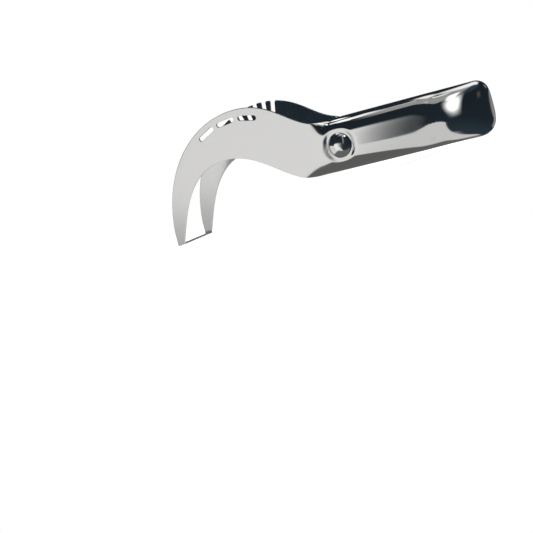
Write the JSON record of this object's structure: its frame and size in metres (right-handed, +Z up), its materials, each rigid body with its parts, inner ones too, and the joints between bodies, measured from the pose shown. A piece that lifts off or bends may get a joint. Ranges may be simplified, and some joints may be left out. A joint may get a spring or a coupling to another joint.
{
  "type": "watermelon slicer",
  "caption": "Hooked sheet-steel slicing and serving tool: parallel arms, tied by a cross blade at the prong tips, run into a hollow rounded handle.",
  "frame": {"origin": "centre of the footprint at table level, the tool lying as it rests on a table, on its tip blade and its heel", "axes": "+X along the tool from the prongs to the heel, -Y the side of the slotted arm, +Z up"},
  "size_m": [0.22, 0.0436, 0.067],
  "materials": {
    "shell_steel": "satin arms, mirror-polished handle",
    "blade_steel": "satin",
    "dome_steel": "mirror polished",
    "weld_steel": "ground flush"
  },
  "bodies": {
    "root": {"near_side_shell": "shell_steel", "far_side_shell": "shell_steel", "tip_blade": "blade_steel", "near_tip_weld": "weld_steel", "far_tip_weld": "weld_steel", "neck_rivet": "dome_steel", "neck_rivet_cap": "dome_steel", "neck_spacer": "blade_steel", "handle_seam_weld": "weld_steel"}
  },
  "joints": []
}
